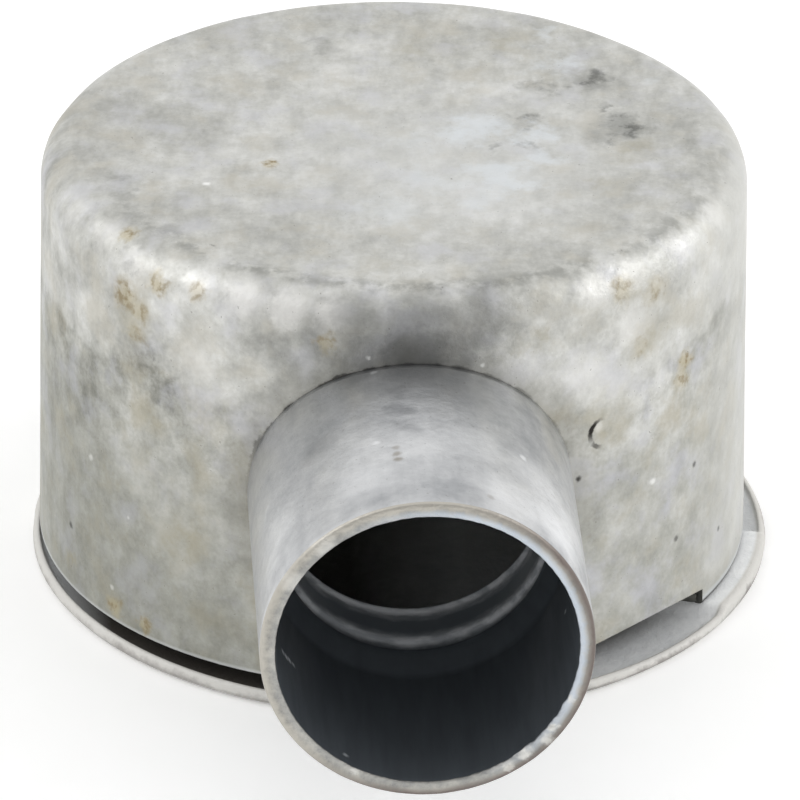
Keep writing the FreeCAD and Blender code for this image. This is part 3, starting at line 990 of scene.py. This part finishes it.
    # Among the coats: painted light at the far right, painted shade low on the left, round the spout's root
    # and on the legs' ends, and dirt with painted shade in the seam
    colour = coated(tree, grey, [
        (warm, "#B3AC98"), (cool, "#C4C5CE"), (overlap(tree, band, 0.36), "#DDDDDA"),
        (overlap(tree, smooth, below_top), "#D2D2CE"), (low_left_shade, "#8B8C81"),
        (overlap(tree, lighter_middle, on_top), "#DADBDA"),
        (overlap(tree, edge, front_edge, patchy, on_top), "#6E6F6A"),
        (overlap(tree, near, front), "#85837A"), (burr, "#DDE0E2"), (seam, "#2C2B27"),
        *marks_and_painted_light, (gritty, "#6E6A62")])
    metal, rough = add_each(tree, "MapRange", FADE, [
        (either(tree, rust, seam), 0, 1, 0.88, 0.2), (shade, -0.4, 0.4, 0.6, 0.47)])
    relief = weighed(tree, mottle, [(overlap(tree, creased, mottle), 2.5), (pits, -3.0)])
    surface(tree, {"Base Color": colour, "Metallic": metal, "Roughness": rough}, relief, 1.0, 0.024)
    return finish


def dull_zinc_inside():
    """The same sheet inside the cup, painted darker as shade: a flat dark grey with soft clouds."""
    finish, tree, place = new_finish("dull_zinc_inside")
    clouds = add(tree, "TexNoise", {"Vector": place, "Scale": per_size(3), "Detail": 4.0,
                                    "Roughness": 0.6})[0]
    grey = coated(tree, linear("#4E4E4A"), [(clouds, "#71716B")])
    surface(tree, {"Base Color": grey, "Metallic": 0.8, "Roughness": 0.5}, clouds, 0.4, 0.03)
    return finish


# Marks on the spout, as on the cup
TUBE_SHADOWS = {on_spout: [(-4, -33, 5, 0.12), (8, -33, 5, 0.14), (16, -35, 4.6, 0.18),
                           (24, -32.5, 3.6, 0.15), (8, -37.5, 4, 0.08), (-5.5, -36, 1.8, 0.3),
                           (-5.5, -39, 1.7, 0.4), (-6, -42, 1.5, 0.3), (-37, -40, 2.6, 0.3),
                           (-20, -31.5, 3, 0.3)]}
# Pale marks on the tube: a painted highlight down its right side, with a few small worn specks
TUBE_WORN_AND_HIGHLIGHT = {on_spout: [(44, -45, 5, 0.5), (51, -51, 5, 0.7), (33, -51.5, 5, 0.6), (62, -47, 4, 0.5),
                        (20, -44, 4, 0.3), (38, -42.6, 0.7, 0.9), (-15.5, -44, 0.5, 0.9),
                        (-14, -31.7, 0.45, 0.9), (-22, -50, 4, 0.25)]}
TUBE_STAINS = {on_spout: [(-9, -47.5, 0.6, 0.6), (-9, -46.6, 0.6, 0.55), (-9.2, -45.5, 0.5, 0.4),
                          (22, -52.8, 0.5, 0.3)]}
# Painted glints on the burrs of the sawn end
BURR_GLINTS = {on_end: [(112, 12.8, 0.5, 0.7), (126, 12.9, 0.7, 0.9), (131, 13.4, 0.8, 0.6),
                        (141, 12.9, 0.9, 0.8), (149, 13.2, 0.6, 0.5), (-152, 12.8, 0.5, 0.6),
                        (-40, 13.2, 1.4, 0.4), (-58, 13.1, 1.4, 0.4)]}
BORE_SCRATCHES = {on_bore: [(-113, -46.6, 0.45, 0.8), (-116, -46.3, 0.5, 0.9), (-119, -46, 0.5, 0.9),
                            (-122, -45.7, 0.4, 0.7), (104, -44, 0.35, 0.7), (-148, -54, 0.4, 0.5)]}


def zinc_coated_steel_tube():
    """Welded steel tube with a smooth zinc coat: cooler and brighter than the cup, faintly streaked."""
    finish, tree, place = new_finish("zinc_coated_steel_tube")
    x = add(tree, "SeparateXYZ", {0: place})["X"]
    # The grit is drawn coarser than it is, as on the cup
    clouds, mottle, grit, streaks = add_each(tree, "TexNoise", PATTERN, [
        (place, per_size(7), 7, 0.62), (place, per_size(1.8), 5, 0.65), (place, per_size(0.4), 2, 0.6),
        (drawn_out(tree, place, (0, 1, 0), 8), per_size(1.2), 4, 0.6)], normalize=False)
    # Scratched most on the right
    scratched = add(tree, "MapRange", {"Value": x, "From Min": 4 * MM, "From Max": 9 * MM, "To Min": 0.14,
                                       "To Max": 0.3})[0]
    shade = weighed(tree, 0.0, [(clouds, 0.4), (mottle, scratched), (streaks, 0.1)])
    level = weighed(tree, 0.5, [(shade, 1.0)])
    # Darker at its root against the wall: partly the dark seam, partly painted shade
    seam = add(tree, "MapRange", {"Value": from_upright(tree, place, 0, 0), "To Max": 0.4,
                                  "From Min": (mouth_radius - 0.2) * MM,
                                  "From Max": (mouth_radius - 0.5) * MM}, interpolation_type="SMOOTHSTEP")[0]
    far_place = ragged(tree, place, 4, 1.0)
    near_place = ragged(tree, place, 0.8, 0.12)
    gritty, rough = add_each(tree, "MapRange", FADE, [(grit, 0.65, 1, 0, 0.4), (shade, -0.3, 0.3, 0.4, 0.28)])
    colour = coated(tree, linear("#A2A4A7"), [
        (level, "#DADBDC"), (seam, "#4A4A4A"), (stain(tree, far_place, TUBE_SHADOWS), "#5A5D62"),
        (stain(tree, near_place, TUBE_WORN_AND_HIGHLIGHT), "#F0F1F3"), (stain(tree, near_place, TUBE_STAINS), "#7C715E"),
        (gritty, "#6F6C68")])
    surface(tree, {"Base Color": colour, "Metallic": 0.9, "Roughness": rough}, mottle, 1.0, 0.014)
    return finish


def sawn_steel_end():
    """Bare steel of the sawn end: grey, brown at its outer edge, its inner edge lightened on the right as a
    painted highlight.
    """
    finish, tree, place = new_finish("sawn_steel_end")
    x, _, height = add(tree, "SeparateXYZ", {0: place})
    grain, clouds = add_each(tree, "TexNoise", PATTERN, [
        (place, per_size(0.9), 5, 0.65), (place, per_size(4), 4, 0.6)], normalize=False)
    level = weighed(tree, 0.5, [(grain, 0.5), (clouds, 0.5)])
    radius = weighed(tree, from_spout_axis(tree, place), [(grain, 0.12 * MM)])
    outer, low, inner, rubbed = add_each(tree, "MapRange", FADE, over_mm([
        (radius, spout_radius - 0.75, spout_radius - 0.2, 0, 1),  # outer edge
        (weighed(tree, x, [(height, -0.6)]), -18, -6, 0, 1),  # brown, low and on the right
        (radius, bore_radius + 0.75, bore_radius + 0.3, 0, 1),  # inner edge
        (weighed(tree, x, [(height, 0.5)]), 8, 20, 0.1, 0.8)]))  # painted highlight on the inner edge, most on the right
    grey = coated(tree, linear("#8A8985"), [(level, "#BCB9B1")])
    edge = coated(tree, linear("#BDB9B0"), [(low, "#7A716C")])
    colour = add(tree, "Mix", {0: outer, 6: grey, 7: edge}, data_type="RGBA")[2]
    # Painted glints on the burrs at the inner edge
    glints = stain(tree, ragged(tree, place, 0.7, 0.3), BURR_GLINTS)
    colour = coated(tree, colour, [(overlap(tree, inner, rubbed), "#CCD5E0"), (glints, "#E6E5E0")])
    surface(tree, {"Base Color": colour, "Metallic": 0.85, "Roughness": 0.42}, grain, 1.0, 0.03)
    return finish


def scaled_steel_bore():
    """Inside of the tube, dark with mill scale: blue-black, with a faint shine along it."""
    finish, tree, place = new_finish("scaled_steel_bore")
    length = drawn_out(tree, place, (0, 1, 0), 8)
    streaks = add(tree, "TexNoise", {"Vector": length, "Scale": per_size(1.4), "Detail": 5.0,
                                     "Roughness": 0.6})[0]
    scratches = stain(tree, ragged(tree, place, 0.8, 0.1), BORE_SCRATCHES)
    scale = coated(tree, linear("#464B50"), [(streaks, "#5E646A"), (scratches, "#E4E8EB")])
    rough = add(tree, "MapRange", {"Value": streaks, "To Min": 0.6, "To Max": 0.4})[0]
    surface(tree, {"Base Color": scale, "Metallic": 0.2, "Roughness": rough}, streaks, 0.3, 0.02)
    return finish


def rubbed_steel_neck():
    """Necked end of the tube, its scale rubbed off by the rolling tool: dark grey with two bright ridges,
    partly bare metal and partly a painted highlight.
    """
    finish, tree, place = new_finish("rubbed_steel_neck")
    clouds, strokes = add_each(tree, "TexNoise", PATTERN, [
        (place, per_size(2.5), 5, 0.6),
        (drawn_out(tree, place, (0.98, 0, -0.2), 4), per_size(0.9), 4, 0.5)], normalize=False)
    y = weighed(tree, add(tree, "SeparateXYZ", {0: place})["Y"], [(clouds, 0.4 * MM)])
    neck_start = stop_y + STOP_TAPER
    rings = add_each(tree, "MapRange", FADE, over_mm([
        (off(tree, y, neck_start + ridge - RIDGE_FLANK / 2), 1.6, 0.2, 0, shine)
        for ridge, shine in zip(NECK_RIDGES, RIDGE_SHINE)]))
    # Rubbed through unevenly, in strokes round the neck; the ridges are also lightened as a painted highlight
    strokes = add(tree, "MapRange", {"Value": strokes, "From Min": -0.4, "From Max": 0.4, "To Min": 0.45})[0]
    worn_and_highlit = overlap(tree, either(tree, *rings), strokes)
    # Scale thins out where the neck begins
    scale = add(tree, "MapRange", {"Value": y, "From Min": neck_start * MM, "To Min": 1.0, "To Max": 0.0,
                                   "From Max": (neck_start + 1.5) * MM})[0]
    colour = coated(tree, linear("#8C939A"), [(worn_and_highlit, "#FAFCFE"), (scale, "#52585D")])
    metal = add(tree, "MapRange", {"Value": worn_and_highlit, "To Min": 0.1, "To Max": 0.02})[0]
    surface(tree, {"Base Color": colour, "Metallic": metal, "Roughness": 0.45}, clouds, 0.4, 0.03)
    return finish


def pressed_zinc_sheet():
    """Electro-galvanised sheet, pressed and sheared: a milky, even grey.

    It is pale on its rubbed lip, dark at its sheared edge, and dark with painted shade under the cup's edge.
    """
    finish, tree, place = new_finish("pressed_zinc_sheet")
    x, y, height = add(tree, "SeparateXYZ", {0: place})
    clouds, mottle = add_each(tree, "TexNoise", PATTERN, [
        (place, per_size(5), 6, 0.62), (place, per_size(1), 5, 0.65)], normalize=False)
    level = weighed(tree, 0.5, [(clouds, 0.5), (mottle, 0.3)])
    away = from_upright(tree, place, *lid_centre)
    uneven_height = weighed(tree, height, [(clouds, 0.5 * MM), (mottle, 0.2 * MM)])
    (lip, lip_and_slot_shade, left, thin, deep, before_ear, outside, sheared,
     most) = add_each(tree, "MapRange", FADE, over_mm([
        (away, lid_inner - 0.3, lid_inner, 0, 1),  # rubbed lip
        (away, lid_inner + 0.15, lid_inner - 0.5, 0, 1),  # painted shade inside the lip, under the cup's edge
        (x, 6, -4, 0, 0.93),  # on the left
        (x, -30.5, -25.5, 0, 1),  # thinning out towards the ear at the far left
        (away, lid_inner - 3.4, lid_inner - 7.0, 0, 0.9),  # painted shade deep in the slot on the right, under the arch
        (y, -16.5, -18.5, 0, 1),  # before the ear there
        (away, lid_inner + 0.3, lid_inner + 0.5, 0, 1),  # outside of the lip
        (uneven_height, 1.15, 0.45, 0, 1),  # with its sheared edge
        (x, -5, 10, 0.55, 0.85)]))  # darker on the right
    # Painted shade under the cup's edge: in the slot on the left, and deep under the arch on the right
    lip_and_slot_shade = overlap(tree, lip_and_slot_shade, left, thin)
    lip_and_slot_shade = either(tree, lip_and_slot_shade, overlap(tree, deep, before_ear))
    zinc = coated(tree, linear("#EAECED"), [
        (level, "#FBFCFC"), (lip, "#DDDBD6"), (lip_and_slot_shade, "#3C3326"),
        (overlap(tree, sheared, most, outside), "#7A7370")])
    rough = add(tree, "MapRange", {"Value": level, "To Min": 0.6, "To Max": 0.45})[0]
    surface(tree, {"Base Color": zinc, "Metallic": 0.1, "Roughness": rough}, mottle, 1.0, 0.03)
    return finish


def bright_zinc_plate():
    """Zinc-plated screw steel: a clear, slightly blue shine with fine turned marks."""
    finish, tree, place = new_finish("bright_zinc_plate")
    marks = add(tree, "TexNoise", {"Vector": place, "Scale": per_size(0.5), "Detail": 3.0})[0]
    zinc = coated(tree, linear("#A8ACB2"), [(marks, "#D4D7DB")])
    rough = add(tree, "MapRange", {"Value": marks, "To Min": 0.4, "To Max": 0.22})[0]
    shader = add(tree, "BsdfPrincipled", {"Base Color": zinc, "Metallic": 1.0, "Roughness": rough})[0]
    add(tree, "OutputMaterial", {"Surface": shader})
    return finish


# Studio

FLOOR_HALF = 3.0
FLOOR_DROP = 0.00001
FLOOR_LIFT = 0.25
# Camera fitted to the photograph's outlines, in millimetres
CAMERA_EYE = (-35.31, -631.56, 351.37)
CAMERA_AIM = (1.003, 5.572, 10.734)
CAMERA_UP = (0.01975, 0.4846, 0.87451)
CAMERA_LENS = 361.8
# Softboxes: place, aim, width and height in metres, radiant power in watts
SOFTBOXES = (("softbox_left", (-0.9, 0.05, 0.8), (0, 0, 0.02), (0.9, 0.5), 2.3),
             ("softbox_right", (0.97, -0.1, 0.65), (0, 0, 0.02), (0.9, 0.5), 2.9))
SKY_FILL = 0.8
# The studio is dim behind the camera: direction, where the dimness begins and is full, brightness there
DIM_SIDE = (-0.05, -0.87, 0.485)
DIM_BEGIN, DIM_FULL = 0.6, 0.97
DIM_LEVEL = 0.4


def seen_directly(tree):
    """One for rays that show the backdrop to the eye, straight, in gloss or through glass."""
    path = add(tree, "LightPath", {})
    return either(tree, path["Is Camera Ray"], path["Is Glossy Ray"], path["Is Transmission Ray"])


def pale_studio_floor():
    """Matt white studio board with a trace of fibre, lifted to white where no shadow lies."""
    finish, tree, place = new_finish("pale_studio_floor")
    fibre = add(tree, "TexNoise", {"Vector": place, "Scale": per_size(4), "Detail": 3.0})[0]
    board = coated(tree, linear("#F6F6F5"), [(fibre, "#FAFAFA")])
    lift = add(tree, "MapRange", {"Value": seen_directly(tree), "To Max": FLOOR_LIFT})[0]
    shader = add(tree, "BsdfPrincipled", {"Base Color": board, "Roughness": 0.9,
                                          "Emission Color": linear("#FFFFFF"), "Emission Strength": lift})[0]
    add(tree, "OutputMaterial", {"Surface": shader})
    return finish


def build_floor():
    corners = [(x, y, -FLOOR_DROP) for x, y in ((-FLOOR_HALF, -FLOOR_HALF), (FLOOR_HALF, -FLOOR_HALF),
                                                (FLOOR_HALF, FLOOR_HALF), (-FLOOR_HALF, FLOOR_HALF))]
    mesh = bpy.data.meshes.new("studio_floor")
    mesh.from_pydata(corners, [], [(0, 1, 2, 3)])
    mesh.materials.append(pale_studio_floor())
    floor = bpy.data.objects.new("studio_floor", mesh)
    bpy.context.scene.collection.objects.link(floor)


def build_lights():
    for name, place, aim, size, power in SOFTBOXES:
        lamp = bpy.data.lights.new(name, "AREA")
        lamp.shape = "RECTANGLE"
        lamp.size, lamp.size_y = size
        lamp.energy = power
        box = bpy.data.objects.new(name, lamp)
        box.location = place
        box.rotation_euler = (Vector(aim) - Vector(place)).to_track_quat("-Z", "Y").to_euler()
        bpy.context.scene.collection.objects.link(box)
    world = bpy.data.worlds.new("white_studio")
    bpy.context.scene.world = world
    world.use_nodes = True
    tree = world.node_tree
    tree.nodes.clear()
    heading = add(tree, "TexCoord", {})["Generated"]
    towards = add(tree, "VectorMath", {0: heading, 1: DIM_SIDE}, operation="DOT_PRODUCT")["Value"]
    dim = add(tree, "MapRange", {"Value": towards, "From Min": DIM_BEGIN, "From Max": DIM_FULL, "To Min": 1.0,
                                 "To Max": DIM_LEVEL}, interpolation_type="SMOOTHSTEP")[0]
    dim = either(tree, dim, add(tree, "LightPath", {})["Is Camera Ray"])
    strength = add(tree, "Mix", {0: seen_directly(tree), 2: SKY_FILL, 3: dim})[0]
    glow = add(tree, "Background", {"Color": linear("#FFFFFF"), "Strength": strength})[0]
    add(tree, "OutputWorld", {"Surface": glow})


def build_camera():
    eye, aim = Vector(CAMERA_EYE) * MM, Vector(CAMERA_AIM) * MM
    back = (eye - aim).normalized()
    right = Vector(CAMERA_UP).cross(back).normalized()
    turned = Matrix((right, back.cross(right), back)).transposed().to_4x4()
    lens = bpy.data.cameras.new("photo_camera")
    lens.lens = CAMERA_LENS
    camera = bpy.data.objects.new("photo_camera", lens)
    camera.matrix_world = Matrix.Translation(eye) @ turned
    bpy.context.scene.collection.objects.link(camera)
    bpy.context.scene.camera = camera


build_cup(weathered_zinc_on_drawn_steel(), dull_zinc_inside())
build_spout(zinc_coated_steel_tube(), scaled_steel_bore(), sawn_steel_end(), rubbed_steel_neck())
build_lid(pressed_zinc_sheet())
build_screws(bright_zinc_plate())
build_floor()
build_lights()
build_camera()
bpy.context.scene.view_settings.view_transform = "Standard"
